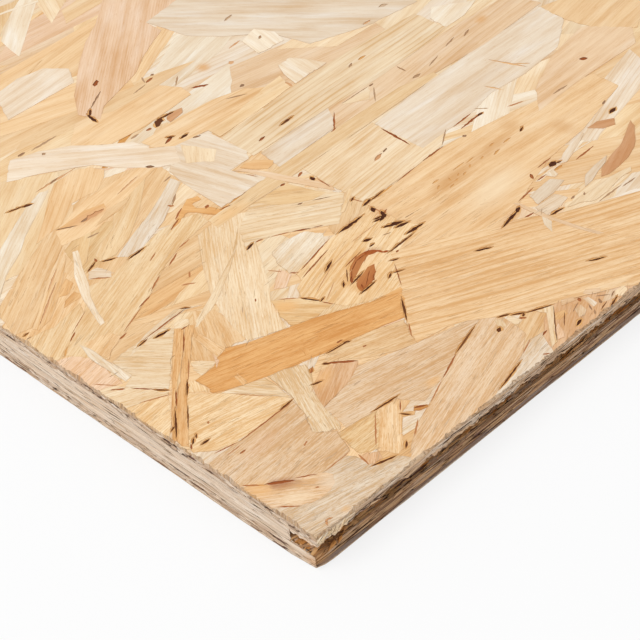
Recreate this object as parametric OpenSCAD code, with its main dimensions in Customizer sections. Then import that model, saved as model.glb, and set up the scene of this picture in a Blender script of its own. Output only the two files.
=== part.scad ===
// Tongue and groove OSB panel, lying flat with its better face up.
// The groove runs along the long edge at -Y and the tongue along the one at +Y.
// Both short ends are sawn square. The origin is at the middle of the underside.

/* [Panel] */
// Length of the panel along its long edges
panel_length = 2440; // [600:10:3000]
// Width of the upper face that shows once panels are joined
cover_width = 590; // [200:5:1250]
// Thickness of the panel
thickness = 18; // [15:0.5:25]

/* [Tongue] */
// How far the tongue stands out of the shoulders
tongue_length = 10; // [6:0.5:14]
// Thickness of the tongue where it meets the shoulders
tongue_root = 6; // [4:0.1:8]
// Thickness that the taper of the tongue would reach at its nose
tongue_tip = 5; // [3.5:0.1:6]
// Radius of the two rounded edges of the nose
nose_radius = 1.2; // [0.4:0.1:1.6]

/* [Groove] */
// Thickness of the upper lip at the mouth of the groove
upper_lip = 4.6; // [3:0.1:6]
// Gap above and below a tongue that sits in the groove
side_clearance = 0.2; // [0.1:0.05:0.6]
// Gap between the nose of a tongue and the bottom of the groove
end_clearance = 1; // [0.5:0.1:3]
// How much shorter the lower lip is than the upper lip
lip_setback = 2; // [0:0.1:4]

/* [Broken corner] */
// How far the break at the end of the groove reaches into the panel, past the bottom of the groove
break_reach = 3; // [1:0.5:20]
// How far the break runs along the groove before it dies out
break_run = 9; // [4:0.5:60]

/* [Hidden] */
// Spare length that carries a cut clear of the face that it starts from
through = 1;
// Straight steps that make up one rounded edge of the nose
nose_steps = 8;

overall_width = cover_width + tongue_length;
groove_y = -overall_width / 2;
shoulder_y = groove_y + cover_width;
groove_depth = tongue_length + end_clearance;
bottom_y = groove_y + groove_depth;
end_x = -panel_length / 2;
// Angle of each flank of the tongue
taper = atan((tongue_root - tongue_tip) / 2 / tongue_length);

// Half the thickness of the tongue, and half the gap of the groove, at a distance from the joint's face
function tongue_half(distance) = tongue_root / 2 - distance * tan(taper);
function groove_half(distance) = tongue_half(distance) + side_clearance;

// Height of the middle of the tongue and of the groove, set from the upper face so that it comes out flush
joint_height = thickness - upper_lip - groove_half(0);

// Points of one rounded edge of the nose, from the flank round to the end. The arc runs into both.
function nose_arc() =
    let (arc_y = tongue_length - nose_radius,
         arc_z = tongue_half(arc_y) - nose_radius / cos(taper))
    [for (i = [0 : nose_steps]) let (turn = (90 - taper) * (1 - i / nose_steps))
        [arc_y + nose_radius * cos(turn), arc_z + nose_radius * sin(turn)]];

// Points of the whole tongue from its lower flank, over its nose, to its upper flank
function tongue_points() =
    let (upper = concat([[0, tongue_half(0)]], nose_arc()), last = len(upper) - 1)
    [for (i = [0 : last]) [shoulder_y + upper[i][0], joint_height - upper[i][1]],
     for (i = [last : -1 : 0]) [shoulder_y + upper[i][0], joint_height + upper[i][1]]];

// Section across the panel: its first coordinate is the panel's Y, and its second is Z.
module panel_section() {
    lower_lip_y = groove_y + lip_setback;
    polygon(concat(
        [[lower_lip_y, 0], [shoulder_y, 0]],
        tongue_points(),
        [[shoulder_y, thickness], [groove_y, thickness]],
        [[groove_y, joint_height + groove_half(0)]],
        [[bottom_y, joint_height + groove_half(groove_depth)]],
        [[bottom_y, joint_height - groove_half(groove_depth)]],
        [[lower_lip_y, joint_height - groove_half(lip_setback)]]
    ));
}

// Wedge that has broken out of the bottom of the groove at one short end
module broken_corner() {
    low_z = joint_height - groove_half(groove_depth);
    translate([0, 0, low_z])
        linear_extrude(2 * groove_half(groove_depth))
            polygon([
                [end_x - through, bottom_y - through],
                [end_x + break_run, bottom_y - through],
                [end_x + break_run, bottom_y],
                [end_x, bottom_y + break_reach],
                [end_x - through, bottom_y + break_reach],
            ]);
}

module osb_panel() {
    color("burlywood")
        difference() {
            translate([end_x, 0, 0])
                rotate([90, 0, 90])
                    linear_extrude(panel_length) panel_section();
            broken_corner();
        }
}

osb_panel();
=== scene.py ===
"""Tongue and groove OSB panel, dressed with the wood strands that show on each of its faces.

Each face is drawn flat in millimetres: overlapping strand outlines, the last one on top. The outlines are cut
against each other, each visible patch gets its own height and wood, and the result is laid on the panel.
"""
import math
import random
from dataclasses import dataclass

import bpy
import numpy as np
from mathutils import Matrix, Vector
from mathutils.bvhtree import BVHTree
from mathutils.geometry import delaunay_2d_cdt


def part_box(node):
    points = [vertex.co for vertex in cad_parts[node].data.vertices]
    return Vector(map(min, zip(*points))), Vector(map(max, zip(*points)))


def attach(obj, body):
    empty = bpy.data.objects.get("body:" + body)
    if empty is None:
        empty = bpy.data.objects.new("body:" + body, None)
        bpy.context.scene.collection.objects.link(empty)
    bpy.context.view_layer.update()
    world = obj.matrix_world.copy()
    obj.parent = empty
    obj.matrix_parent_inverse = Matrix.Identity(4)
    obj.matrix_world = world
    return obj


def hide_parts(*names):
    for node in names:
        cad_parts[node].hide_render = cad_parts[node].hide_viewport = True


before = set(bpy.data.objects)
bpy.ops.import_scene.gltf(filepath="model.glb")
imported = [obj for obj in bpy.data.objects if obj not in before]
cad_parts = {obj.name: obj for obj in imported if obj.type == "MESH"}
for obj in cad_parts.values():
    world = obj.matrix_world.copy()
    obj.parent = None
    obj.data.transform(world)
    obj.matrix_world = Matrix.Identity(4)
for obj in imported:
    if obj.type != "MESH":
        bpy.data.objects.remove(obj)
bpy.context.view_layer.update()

# Sizes in millimetres. The panel's box comes from the frame, and its joint repeats the panel's own sizes.
MM = 0.001
LOW, HIGH = (np.array(corner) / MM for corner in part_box("osb_panel"))
LENGTH, THICK = HIGH[0] - LOW[0], HIGH[2]
END_X, GROOVE_Y = LOW[0], LOW[1]
TONGUE_LENGTH, TONGUE_ROOT, TONGUE_TIP, NOSE_RADIUS = 10, 6, 5, 1.2
UPPER_LIP, SIDE_CLEARANCE, END_CLEARANCE, LIP_SETBACK = 4.6, 0.2, 1, 2
BREAK_REACH, BREAK_RUN = 3, 9
SHOULDER_Y = HIGH[1] - TONGUE_LENGTH
LOWER_LIP_Y = GROOVE_Y + LIP_SETBACK
GROOVE_DEPTH = TONGUE_LENGTH + END_CLEARANCE
TAPER = (TONGUE_ROOT - TONGUE_TIP) / 2 / TONGUE_LENGTH
JOINT_Z = THICK - UPPER_LIP - TONGUE_ROOT / 2 - SIDE_CLEARANCE
# Thickness of the outermost strands, which show as a band along the edges
TOP_SKIN, UNDER_SKIN = 1.0, 0.8
# Most that a chip takes off an edge of a face, and how close to the edge a point still belongs to it
CHIP_MOST, EDGE_REACH = 1.4, 2.8
# Distance between the points of a chipped edge and size of its chips, near the corner and elsewhere
FINE_CHIPS, COARSE_CHIPS = (1.0, 0.55), (4, 0.1)
# Distance from the border of an edge map over which its strands come up to the true surface
BORDER_FADE = 0.3
# Wear of the lower near corner: its height, and how far it runs along the groove and along the end
WEAR, WEAR_REACH = 2.0, (8, 16)
# Number of pieces of each large face and of each long edge
TILES, EDGE_PARTS = 8, 4
# Distance from the near corner within which strands get a soft rim of painted shade, and how slowly it fades
# there
DETAIL_REACH, RIM_FADE = 380, 260
# Width of that rim, and the distance below which points are joined when outlines are cut
RIM_WIDTH, CUT_MERGE = 0.45, 1e-4
# Distance from the near corner within which loose fibres lie on the upper face, and how many
FIBRE_REACH, FIBRE_COUNT = 190, 1700
# Filling under the scattered strands: their spacing along and across the face, their size, and a seed
FILL_SPACING, FILL_SIZE, FILL_SEED = (150, 24), (260, 50), 24
# Courses over the filling: their distance, and the steps, lengths and widths of their strands
COURSE_PITCH, COURSE_STEPS, COURSE_LENGTHS, COURSE_WIDTHS = 15, (75, 100), (105, 150), (20, 30)
# Photograph: width of its frame and focal length in pixels, and width of the sensor. Then the camera's place
# from the near upper corner, and its yaw, pitch and roll in degrees
FRAME_PIXELS, FOCAL_PIXELS, SENSOR_WIDTH = 640, 2200, 36
CAMERA_OFFSET, CAMERA_TURNS = (-321.9, -389.7, 527.2), (49.37, 40.59, -6.59)
# Area lights in metres and watts: place, target, size and power. Then the strength of the world's light
KEY_LIGHT = ((-3.1, 0.1, 2.5), (-1.1, -0.2, 0), 2.0, 66)
FILL_LIGHT = ((-0.3, -4.6, 1.6), (-1.1, -0.3, 0), 2.0, 41)
WORLD_LIGHT = 0.6
# Floor: half its width and how far it lies below the panel, in metres, and how much of it is plain white
FLOOR_REACH, FLOOR_DROP, FLOOR_WHITE = 20.0, 0.0002, 0.78


def linear(red, green, blue):
    """Colour for a shader from the usual 0 to 255 values."""
    def channel(value):
        value /= 255
        return value / 12.92 if value <= 0.04045 else ((value + 0.055) / 1.055) ** 2.4
    return (channel(red), channel(green), channel(blue))


TONES = {
    "white": linear(245, 231, 208),
    "grey": linear(238, 222, 200),
    "chalk": linear(231, 212, 187),
    "clay": linear(228, 190, 151),
    "buff": linear(234, 202, 155),
    "cream": linear(243, 221, 187),
    "straw": linear(242, 214, 172),
    "tan": linear(238, 205, 161),
    "rose": linear(234, 205, 170),
    "pink": linear(240, 208, 176),
    "honey": linear(232, 190, 138),
    "orange": linear(233, 181, 119),
    "ochre": linear(216, 158, 90),
    "brown": linear(213, 162, 118),
    "knot": linear(176, 95, 40),
    "rust": linear(148, 78, 38),
    "dark": linear(66, 28, 6),
    "edge": linear(216, 197, 177),
    "pale_edge": linear(229, 213, 195),
    "fawn": linear(194, 168, 144),
    "umber": linear(140, 106, 80),
    "gap_shade": linear(132, 98, 84),
    "amber": linear(200, 144, 84),
    "void": linear(70, 46, 30),
    "biscuit": linear(208, 178, 146),
    "walnut": linear(187, 152, 116),
    "bottom_shade": linear(138, 119, 108),
}
# What a tone is multiplied by where it is bleached, in late wood and in pores, and for the painted shade on
# rims and on walls
BLEACH = (1.03, 1.11, 1.25)
LATEWOOD = (0.78, 0.61, 0.43)
PORE_SHADE = (0.4, 0.32, 0.25)
RIM_PAINTED_SHADE = (0.42, 0.27, 0.15)
WALL_PAINTED_SHADE = (0.46, 0.36, 0.28)
# Share of a cut edge's colour that is weathered to chalk
WEATHERED = 0.65
# Spacing of the growth rings in millimetres, and how strongly they show
FIGURES = {"plain": (5.0, 0.12), "fine": (1.4, 0.35), "lined": (2.3, 0.55), "ringed": (3.0, 0.85)}


@dataclass
class Strand:
    """One visible piece of wood.

    It has an outline on the map, a way of its grain in degrees, a colour, a depth below the face, the spacing
    and strength of its growth rings, a seed for its noise, a share of end grain and how dark the painted
    shade on its rim is.
    stained: whether stains show on it.
    """
    outline: list
    grain: float
    tone: tuple
    depth: float
    spacing: float
    figure: float
    seed: float
    end_grain: float = 0.0
    rim: float = 0.0
    stained: bool = True


def turned(points, angle, centre):
    """Points turned by an angle in degrees and moved to a centre."""
    cosine, sine = math.cos(math.radians(angle)), math.sin(math.radians(angle))
    return [(centre[0] + u * cosine - v * sine, centre[1] + u * sine + v * cosine) for u, v in points]


def along_and_across(places, angle):
    """Places seen along and across a way in radians."""
    cosine, sine = np.cos(angle), np.sin(angle)
    return places[:, 0] * cosine + places[:, 1] * sine, places[:, 1] * cosine - places[:, 0] * sine


def area_of(points):
    """Area inside an outline, negative where it runs clockwise."""
    return sum(a[0] * b[1] - b[0] * a[1] for a, b in zip(points, points[1:] + points[:1])) / 2


def frayed(points, grain, rng, step, fray):
    """Outline with extra points, rough across the grain and nearly straight along it, counterclockwise."""
    if area_of(points) < 0:
        points = points[::-1]
    way = math.radians(grain)
    rough = []
    for (ax, ay), (bx, by) in zip(points, points[1:] + points[:1]):
        length = math.hypot(bx - ax, by - ay)
        across = abs(math.sin(math.atan2(by - ay, bx - ax) - way))
        pieces = max(1, round(length / (step * (1 - 0.5 * across))))
        for k in range(pieces):
            off = rng.gauss(0, fray * (0.15 + 0.85 * across))
            off = max(-0.3 * length / pieces, min(0.3 * length / pieces, off))
            share = k / pieces
            rough.append((ax + (bx - ax) * share - (by - ay) / length * off,
                          ay + (by - ay) * share + (bx - ax) / length * off))
    return rough


def flake(rng, centre, length, width, angle):
    """Outline of a strand as the flaker cuts it: straight sides, slanted or pointed ends."""
    left, right = (rng.uniform(-0.5, 0.5) * width for _ in range(2))
    narrow_left, narrow_right = (rng.choice([0.2, 0.7, 0.9, 1.0]) for _ in range(2))
    bow = rng.uniform(-0.04, 0.04) * length
    half, side = length / 2, width / 2
    points = [(-half + left, -side * narrow_left), (0, -side + bow), (half + right, -side * narrow_right),
              (half - right, side * narrow_right), (0, side + bow), (-half - left, side * narrow_left)]
    return turned(points, angle, centre)


def wood(rng, outline, angle, tone, figure, depth, rim, step, fray, vivid=1.0):
    """Strand with a named wood and figure, each a little different from the next one."""
    spacing, strength = FIGURES[figure]
    shade = rng.uniform(0.94, 1.04)
    tone = tuple(c * shade for c in TONES[tone])
    return Strand(frayed(outline, angle, rng, step, fray), angle, tone, depth,
                  spacing * rng.uniform(0.8, 1.25), strength * vivid * rng.uniform(0.6, 1.2),
                  rng.uniform(0, 100), rim=rim)


def rim_at(x, y):
    """How dark the painted shade on a strand's rim is: strongest at the near corner, and none far from it."""
    away = math.hypot(x - END_X, y - GROOVE_Y)
    return max(0.2, min(1.0, 1.15 - away / RIM_FADE)) if away < DETAIL_REACH else 0.0


FACE_TONES = (["cream"] * 6 + ["tan"] * 6 + ["straw"] * 3 + ["white"] * 3 + ["grey"] * 3
              + ["rose", "honey", "pink"])
FACE_FIGURES = ["plain", "fine", "fine", "lined", "lined", "ringed"]
FILL_TONES = ["honey", "clay", "ochre"]


def filling(x_range, y_range, step):
    """Lowest strands of a face, without gaps. They show only between those that are scattered over them."""
    rng = random.Random(FILL_SEED)
    along, across = FILL_SPACING
    made = []
    for row in range(int((y_range[1] - y_range[0]) / across) + 2):
        for column in range(int((x_range[1] - x_range[0]) / along) + 2):
            x = x_range[0] + along * (column + 0.5 * (row % 2)) - along / 2
            outline = flake(rng, (x, y_range[0] + across * row), *FILL_SIZE, rng.gauss(0, 3))
            made.append(wood(rng, outline, 0, rng.choice(FILL_TONES), "lined", depth=0.3, rim=0.0, step=step,
                             fray=0.2))
    return made


def scattered(rng, x_range, y_range, rimmed, step):
    """Strands over a whole face: the filling, courses over it, loose strands, then chips and slivers."""
    made = filling(x_range, y_range, step)

    def add(x, y, length, width, angle, depth):
        rim = 0.7 * rim_at(x, y) if rimmed else 0.0
        made.append(wood(rng, flake(rng, (x, y), length, width, angle), angle, rng.choice(FACE_TONES),
                         rng.choice(FACE_FIGURES), depth, rim, step / 2 if rim else step, fray=0.35,
                         vivid=0.72))

    courses = []
    y = y_range[0] - 5
    while y < y_range[1] + 10:
        x = x_range[0] - rng.uniform(0, 80)
        while x < x_range[1] + 60:
            courses.append((x, y + rng.uniform(-3, 3), rng.uniform(*COURSE_LENGTHS),
                            rng.uniform(*COURSE_WIDTHS), rng.gauss(0, 13)))
            x += rng.uniform(*COURSE_STEPS)
        y += COURSE_PITCH
    rng.shuffle(courses)
    for course in courses:
        add(*course, rng.uniform(0.2, 0.24))
    area = (x_range[1] - x_range[0]) * (y_range[1] - y_range[0])
    # Loose strands, chips and slivers: area of face for each, lengths, widths, spread of their ways, depths
    for each, lengths, widths, spread, depths in (
        (1700, (60, 130), (9, 26), 27, (0.16, 0.2)),
        (6500, (14, 40), (4, 10), 45, (0.12, 0.16)),
        (7500, (22, 60), (1.4, 2.8), 40, (0.1, 0.13)),
    ):
        for _ in range(int(area / each)):
            add(rng.uniform(*x_range), rng.uniform(*y_range), rng.uniform(*lengths), rng.uniform(*widths),
                rng.gauss(0, spread), rng.uniform(*depths))
    return made


# Strands round the near corner, lowest first: wood, figure, way of the grain in degrees, and outline.
# Places are in millimetres from the near corner, along the groove and then along the sawn end.
NEAR_STRANDS = [
    ("rose", "fine", 3, [(0, 20), (24, 20), (37, 20.5), (41, 31), (35, 37), (40, 46), (42, 54.5),
        (30, 53.5), (15, 53.8), (0, 54)]),
    ("chalk", "plain", -12, [(0, 0), (50, 0), (46, 6), (38, 9), (36, 17), (34, 20.5), (24, 20.3), (0, 22)]),
    ("rose", "plain", -38, [(0, 38), (4, 33.5), (13, 26.5), (20.5, 22.5), (24, 19.5), (25, 17), (23, 14),
        (19, 12.3), (14, 12), (9, 13.5), (5, 17), (0, 21.5)]),
    ("rose", "lined", -12, [(44, 28), (46, 42), (58, 45), (70, 49), (86, 43), (98, 39.5), (113, 35),
        (117, 32.5), (105, 29), (84, 21), (72, 18), (66, 26), (56, 28)]),
    ("buff", "plain", 0, [(38, 20), (40, 30), (50, 29), (57, 27.5), (52, 21), (44, 13), (38, 17)]),
    ("clay", "plain", 30, [(46.5, 43), (48, 48), (52, 54), (62, 59), (67, 56), (72, 51), (70, 49),
        (60, 45)]),
    ("tan", "fine", -20, [(57, 58), (63, 60), (68, 62), (78, 61), (86, 59), (99, 53.5), (94, 45.5),
        (92.5, 41), (86, 43), (76, 48.5), (68, 56)]),
    ("rose", "lined", 17, [(46, 0), (52, 6), (60, 11.5), (71, 15.5), (88, 22.5), (105, 29), (117, 32.5),
        (122, 29), (123, 22), (121, 14), (113, 8), (100, 3.7), (94, 2.5), (88, 0)]),
    ("grey", "plain", 12, [(88, 0), (94, 2.5), (108, 6), (119, 11), (126, 10), (122, 2), (120, 0)]),
    ("clay", "plain", 30, [(120, 0), (124, 8), (131, 14), (139.5, 17), (147, 13.5), (156, 8), (168, 0)]),
    ("honey", "plain", 10, [(133, 11), (136, 13.5), (140, 12), (139, 9.5), (135, 9.5)]),
    ("grey", "plain", 70, [(148, 5), (149, 10.5), (151, 10), (150.5, 5)]),
    ("clay", "plain", 20, [(144, 12), (148, 12.8), (149, 9.5), (146, 9)]),
    ("rose", "plain", 20, [(152, 4), (158, 7), (162, 4), (157, 1.5)]),
    ("cream", "plain", -60, [(122, 19), (122.5, 25), (125, 25.5), (126, 20)]),
    ("cream", "plain", 50, [(117.5, 24), (119.5, 28), (121.5, 26), (120, 22)]),
    ("tan", "plain", 44, [(43, 13), (54, 23), (58.5, 27.7), (66, 25.2), (67, 23.7), (56, 14), (50, 7.5),
        (46.5, 7)]),
    ("amber", "plain", -25, [(65.5, 17.5), (67.5, 19), (71, 16), (70.5, 14.8), (67, 15.8)]),
    ("honey", "plain", -50, [(60.5, 18.5), (62, 20.5), (66, 17), (64.5, 15.5)]),
    ("clay", "plain", 40, [(36, 11), (37, 16), (40, 15.5), (43, 12.5), (41.5, 9.5), (38, 9.5)]),
    ("straw", "lined", -12, [(1, 62), (2, 65), (12, 76.5), (20, 86), (28, 76.5), (34, 69), (40, 60),
        (42.5, 54.8), (32, 53.5), (20, 53.5), (8, 55.5), (5, 58)]),
    ("cream", "plain", -55, [(28, 76.8), (36, 73.7), (44, 71), (43.8, 63), (42.6, 55), (40, 60), (34, 69)]),
    ("straw", "plain", 5, [(0, 73), (8, 81), (15, 90.5), (8, 94.5), (0, 97.5)]),
    ("cream", "plain", -25, [(0, 97.5), (8, 94.5), (15, 90.5), (17, 92.5), (10, 102.5), (6, 109.5),
        (0, 117)]),
    ("cream", "plain", -50, [(17, 92.5), (25, 100), (36, 111), (41, 116), (38, 121), (26, 121), (14, 120),
        (13, 108), (8, 106), (10, 102.5)]),
    ("pink", "plain", 10, [(0, 112), (6, 109.5), (9, 108), (10, 128), (8, 133), (0, 137)]),
    ("tan", "plain", 60, [(33, 98.5), (47, 112), (52, 118), (58, 112), (57, 100), (54, 91), (46, 93),
        (37, 90)]),
    ("cream", "plain", -40, [(30, 93.5), (32, 97), (34.5, 96), (38.5, 90.5), (36, 89.3), (30, 89)]),
    ("tan", "plain", 84, [(40.7, 92), (41.5, 106), (45.5, 106.5), (45.5, 93)]),
    ("pink", "plain", 30, [(80, 103), (85, 107.5), (90, 110.5), (90.5, 104.5), (84, 100.5)]),
    ("cream", "fine", 52, [(53.5, 89.5), (55, 97), (58, 108), (62, 118), (68, 128), (76, 140), (84, 150),
        (96, 152), (106, 146), (96, 130), (82, 108), (75, 99.5), (71, 91), (68.5, 84), (60, 86.5)]),
    ("buff", "plain", -50, [(71, 90.5), (75, 99.5), (83.5, 91.5), (86, 86), (88.5, 80), (80, 79.7),
        (70, 82.5)]),
    ("straw", "fine", 22, [(5, 136), (8, 139), (16, 144.5), (25, 149.3), (36, 160), (46, 158), (58, 160.5),
        (76, 164), (86, 163.5), (94, 160), (93, 153.5), (75, 150.5), (64, 146.5), (49, 138), (36, 133),
        (26, 127.7), (18, 125), (14, 122), (10, 128)]),
    ("tan", "plain", 20, [(14, 122), (18, 125), (26, 127.7), (24, 133), (14, 136), (12, 130)]),
    ("straw", "lined", 30, [(0, 137), (5, 136), (12, 141.3), (25, 149.3), (28, 155), (13, 152), (0, 155)]),
    ("tan", "lined", 33, [(0, 160), (7, 158), (14, 163), (26, 173), (46, 187), (58, 196), (66, 204),
        (60, 207), (52, 201), (40, 194.5), (28, 189), (15, 182), (4, 176)]),
    ("tan", "lined", 35, [(7, 157.5), (7.5, 154.8), (14, 156), (20, 160), (34, 172), (42, 180), (46, 186),
        (33, 178.5), (26, 173), (14, 163)]),
    ("honey", "plain", 20, [(22, 157.5), (25, 160.5), (31, 162), (31.5, 157.5)]),
    ("honey", "plain", 32, [(24.5, 164), (30, 168.5), (34, 170.5), (34, 166), (29, 162.5)]),
    ("white", "fine", 34, [(6, 178), (20, 190), (33, 197), (40, 203), (56, 213), (66, 219.5), (62, 221),
        (52, 217.5), (40, 211), (20, 200), (0, 184)]),
    ("tan", "lined", 38, [(40, 196), (52, 206), (62, 215), (70, 221), (80, 221.5), (86, 218), (89, 212),
        (86, 208.5), (78, 203.5), (66, 205), (55, 198)]),
    ("buff", "plain", 40, [(38, 169.5), (46, 172), (52, 178), (62, 188), (52, 185), (44, 178)]),
    ("straw", "plain", 32, [(49, 167.5), (56, 166.5), (66, 170), (80, 180), (100, 198), (92, 199),
        (76, 191), (66, 180), (56, 176), (50, 172)]),
    ("tan", "plain", 12, [(46, 187), (50, 196), (70, 203), (100, 202), (103, 196), (80, 190), (62, 184)]),
    ("honey", "plain", -8, [(50, 196.5), (58, 192), (72, 190.5), (74, 195), (66, 197.5)]),
    ("grey", "fine", 28, [(55, 165), (58, 161), (66, 161.7), (82, 167.5), (92, 174), (103, 181), (102, 186),
        (92, 180.5), (80, 175), (68, 170.5)]),
    ("chalk", "plain", -50, [(39, 163), (42, 166.5), (46, 166), (48, 160), (45.5, 157.5)]),
    ("orange", "plain", -60, [(81, 161), (86, 164), (91, 167.5), (97, 170.5), (101, 168.5), (100.5, 166),
        (96, 166.5), (95.5, 163), (99.5, 159.5), (101, 155.5), (110, 154), (110, 152.5), (98, 153),
        (95.5, 157), (93.5, 161.5), (91.5, 164), (87, 162.5)]),
    ("white", "plain", 62, [(24.3, 139), (27, 147), (30, 156), (36.5, 168.5), (41, 174), (46, 181),
        (48, 180), (42, 170), (38, 162), (33, 154.5), (29, 146), (26.7, 139)]),
    ("white", "plain", 82, [(10, 108), (9.8, 118), (9.5, 127), (12.3, 137), (13.5, 130), (13, 122),
        (14, 109)]),
    ("cream", "plain", 30, [(47, 110), (49, 113), (62, 119), (85, 131), (98, 142), (90, 134), (78, 125),
        (62, 115)]),
    ("white", "plain", 4, [(20, 117), (24, 119.5), (32, 122), (48, 124), (57, 118), (50, 121),
        (36, 119.5)]),
    ("tan", "plain", -3, [(139.5, 112), (162, 113.3), (186, 114.5), (212, 110), (262, 100), (262, 86),
        (230, 78), (207, 76), (186, 69.5), (176, 65.5), (163, 61.5), (140, 76), (124, 84), (143, 87.5),
        (140.5, 92)]),
    ("cream", "lined", 4, [(140, 113.3), (165, 113.5), (186, 115), (194, 121), (181, 121), (180, 148.5),
        (160, 149), (140, 148), (139, 131)]),
    ("grey", "plain", 0, [(180, 120), (212, 121), (225, 124), (245, 122), (268, 124), (286, 136),
        (287, 150), (250, 151), (220, 150), (200, 149), (180, 147)]),
    ("cream", "lined", 2, [(133.5, 170.5), (134, 190), (160, 191), (178, 192.5), (200, 193), (230, 192),
        (250, 190), (250, 172), (230, 169.5), (200, 168.5), (176, 170), (150, 170.5)]),
    ("rose", "lined", 3, [(166, 157), (176, 170), (200, 168.5), (250, 170), (285, 168), (290, 152),
        (250, 150), (222, 152), (205, 156.5)]),
    ("cream", "lined", -34, [(90, 129), (98, 129), (107, 124), (124, 112), (139, 124), (134, 135),
        (128, 147.3), (111, 147.7), (104, 145), (96, 139)]),
    ("buff", "plain", -40, [(113, 147.3), (129, 147.3), (132.5, 136), (135, 130), (128, 130.8),
        (117, 139)]),
    ("straw", "plain", 0, [(92, 147.3), (110, 148), (128, 147.7), (139, 148.7), (180, 149), (221, 150),
        (222, 153), (205, 157), (165, 157.5), (139, 157), (104, 154.5), (93, 153.7)]),
    ("grey", "plain", 0, [(135, 156.8), (137, 169.5), (150, 170), (176, 170), (172, 163), (167, 158)]),
    ("grey", "plain", -75, [(102, 155.5), (103, 180), (105, 190), (110, 196), (118, 202), (128, 200),
        (133, 196), (134, 175), (131, 170.5), (121, 171), (122, 166), (128, 156)]),
    ("white", "plain", 15, [(90.5, 105.5), (93.3, 103.4), (100, 105), (112, 108), (116, 113), (112, 119),
        (104, 121), (95, 120), (92, 114)]),
    ("tan", "lined", -6, [(111, 214), (130, 215), (150, 213), (163, 209), (170, 202), (165, 197),
        (135, 198), (118, 201), (111, 208)]),
    ("straw", "plain", -3, [(134, 191), (160, 192), (177, 193.5), (180, 203), (170, 202), (150, 198),
        (134, 198.5)]),
    ("tan", "plain", 0, [(90, 235), (102, 246), (109, 245), (118, 240), (143, 239), (148, 230), (147, 223),
        (120, 221), (102, 223)]),
    ("grey", "plain", -43, [(58, 237), (68, 248), (80, 243), (91, 235.5), (99, 226), (109, 217),
        (110.5, 208), (118, 201), (112, 191), (104, 195), (93, 208.5), (88, 218), (70, 231)]),
    ("pink", "fine", 42, [(107, 250), (115, 262), (133, 280), (145, 290), (158, 298), (172, 310),
        (182, 300), (196, 282), (172, 279), (172, 270), (155, 262), (143, 254), (118, 246), (111, 240)]),
    ("grey", "plain", 5, [(86, 271), (122, 270), (127, 280), (120, 289), (108, 292), (94, 290)]),
    ("grey", "plain", -52, [(172, 280), (200, 284), (244, 224), (258, 196), (230, 200), (205, 210),
        (200, 230), (185, 245), (176, 258)]),
    ("rose", "plain", 2, [(228, 100), (262, 101), (290, 100), (300, 110), (286, 126), (262, 122),
        (240, 112)]),
    ("tan", "plain", 10, [(287, 150), (286, 136), (288, 124), (300, 107), (322, 119), (302, 146)]),
    ("straw", "lined", 18, [(83.5, 92), (86, 97), (90.5, 99), (92, 104), (100, 105), (110, 107.5),
        (120, 109), (140, 110), (140.5, 92), (143, 87.5), (127, 83), (113, 65), (97, 71), (91, 75.5),
        (88.5, 80), (86, 86)]),
    ("knot", "fine", 25, [(101, 82.5), (104, 87), (108, 90.5), (113, 92.5), (118, 92.3), (121, 90.5),
        (122.5, 87), (124.5, 85.3), (122.5, 85.5), (121, 88.5), (117, 89.5), (112, 88), (104, 84)]),
    ("knot", "fine", 25, [(100, 77), (101, 80), (103, 82.5), (108, 83.6), (112, 85), (115, 84.3),
        (112, 80.5), (108, 78), (103, 76)]),
    ("tan", "ringed", -26, [(124, 84.5), (116, 73), (107, 62), (100, 54), (94, 45.5), (92.5, 41),
        (106, 38.5), (113, 35), (119, 30), (131, 21.2), (139.5, 17), (147, 13.5), (163, 4), (170, -2),
        (225, -8), (225, 28), (200, 41), (180, 51), (174, 57), (168, 61), (163, 61.5), (150, 70.5),
        (140, 76)]),
    ("orange", "lined", -17, [(26.2, 79), (27, 83), (26.5, 88.7), (36, 89), (40, 91.5), (46, 93), (53, 89),
        (64, 85), (78, 80), (92, 73), (98, 70), (104, 68.5), (111.4, 67.3), (107.6, 61.5), (100.2, 53.9),
        (92, 57), (77.5, 60.8), (70, 62), (62, 64.6), (50, 68), (36, 73.7), (30, 76.5)]),
    ("straw", "plain", 60, [(21, 86), (24, 89.3), (26.4, 88.5), (26.8, 83), (25.5, 80.5)]),
    ("honey", "plain", 75, [(36, 73), (37, 79), (39, 79.5), (38.5, 74)]),
    ("orange", "plain", 60, [(61.5, 67), (63, 71.5), (64.8, 70), (64, 67.5)]),
    ("pink", "plain", 60, [(36, 87.5), (37.5, 89.5), (39, 92), (40.5, 95), (39.5, 90)]),
    ("cream", "fine", 66, [(35, 37), (39.5, 45), (43, 56), (44, 62), (45, 70), (52, 68), (58, 64), (57, 60),
        (54, 56), (50, 52), (46.5, 43), (44.3, 33), (42.5, 30.5), (40, 32.5)]),
    ("honey", "lined", 46, [(0, 71.5), (8, 81), (20, 94), (31, 106), (41, 116), (43.5, 113.5), (33, 102.5),
        (19, 90), (10, 81), (1.2, 70.5)]),
    ("honey", "lined", 46, [(1.2, 70.2), (10, 80.7), (19, 89.7), (33, 102.2), (43.8, 113.2), (47.5, 112),
        (40, 105.5), (33, 98.5), (20, 86), (12, 76.5), (2, 65), (0.5, 67)]),
    ("straw", "plain", 48, [(19, 90.2), (22, 93.5), (26, 96.5), (23, 92.5)]),
    ("cream", "plain", 0, [(41, 116), (42.5, 118), (46, 118), (48, 116), (46.5, 113.3), (43, 113.5)]),
    ("cream", "fine", 44, [(131.5, 21), (139.5, 17), (125, 2.3), (121, 1.8), (128, 9), (134.5, 15.8)]),
    ("straw", "plain", 31, [(129, 116.5), (136, 121), (142, 124.5), (144, 123.8), (137, 119.2),
        (130.5, 115.5)]),
    ("rose", "plain", -66, [(121, 170), (124, 165), (128, 152), (133, 140), (138, 128), (139.5, 131),
        (138, 138), (132, 152), (130, 158), (125, 167)]),
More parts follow.
